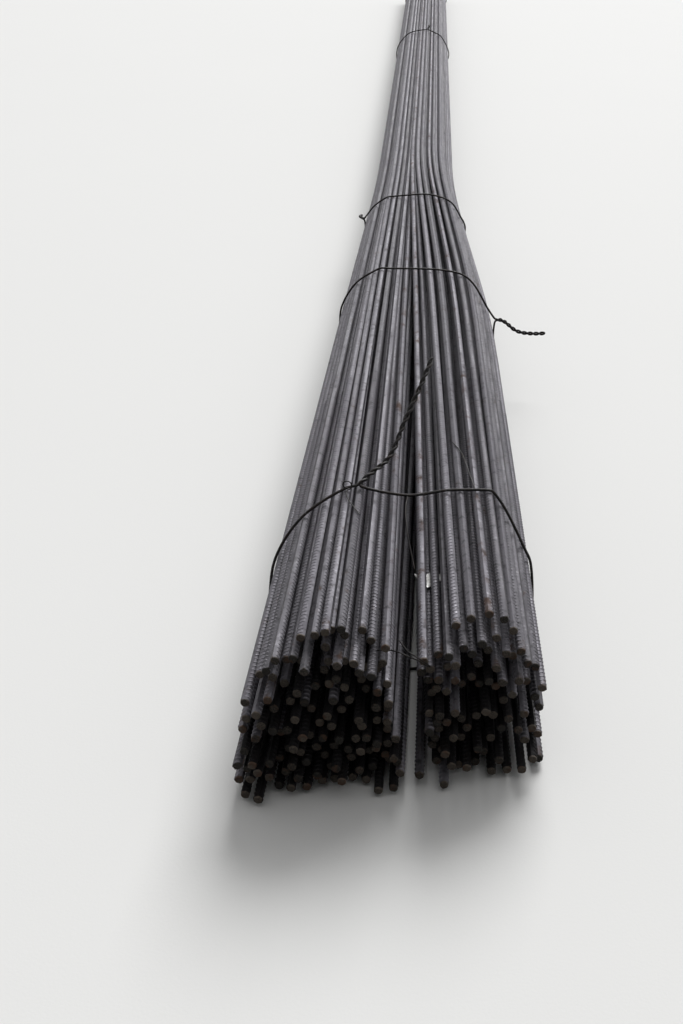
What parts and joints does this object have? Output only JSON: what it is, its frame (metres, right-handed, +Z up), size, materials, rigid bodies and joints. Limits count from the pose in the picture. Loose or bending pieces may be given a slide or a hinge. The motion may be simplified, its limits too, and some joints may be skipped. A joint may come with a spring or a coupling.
{
  "type": "rebar bundle",
  "caption": "Bundle of thin ribbed steel reinforcing bars in stock length, fanned into two groups at one end and held by twisted tie wires, with a small blank tag.",
  "frame": {"origin": "on the floor, under the middle of the bundle's bounding box", "axes": "+Y along the bars from the fanned end to the far end, +X to the right seen from the fanned end, +Z up"},
  "size_m": [0.3892, 6.11, 0.2832],
  "materials": {
    "bar_steel": "dark mill scale, wet, with light rust",
    "tie_wire": "black annealed, rusty",
    "tag": "matt"
  },
  "bodies": {
    "root": {"left_bars_row_01": "bar_steel", "left_bars_row_02": "bar_steel", "left_bars_row_03": "bar_steel", "left_bars_row_04": "bar_steel", "left_bars_row_05": "bar_steel", "left_bars_row_06": "bar_steel", "left_bars_row_07": "bar_steel", "left_bars_row_08": "bar_steel", "left_bars_row_09": "bar_steel", "left_bars_row_10": "bar_steel", "left_bars_row_11": "bar_steel", "left_bars_row_12": "bar_steel", "left_bars_row_13": "bar_steel", "left_bars_row_14": "bar_steel", "left_bars_row_15": "bar_steel", "left_bars_row_16": "bar_steel", "right_bars_row_02": "bar_steel", "right_bars_row_03": "bar_steel", "right_bars_row_04": "bar_steel", "right_bars_row_05": "bar_steel", "right_bars_row_06": "bar_steel", "right_bars_row_07": "bar_steel", "right_bars_row_08": "bar_steel", "right_bars_row_09": "bar_steel", "right_bars_row_10": "bar_steel", "right_bars_row_11": "bar_steel", "right_bars_row_12": "bar_steel", "right_bars_row_13": "bar_steel", "right_bars_row_14": "bar_steel", "right_bars_row_15": "bar_steel", "right_bars_row_16": "bar_steel", "right_bars_row_17": "bar_steel", "tag": "tag", "tie_wire_1": "tie_wire", "tie_wire_2": "tie_wire", "tie_wire_3": "tie_wire", "tie_wire_4": "tie_wire", "tie_wire_5": "tie_wire"}
  },
  "joints": []
}
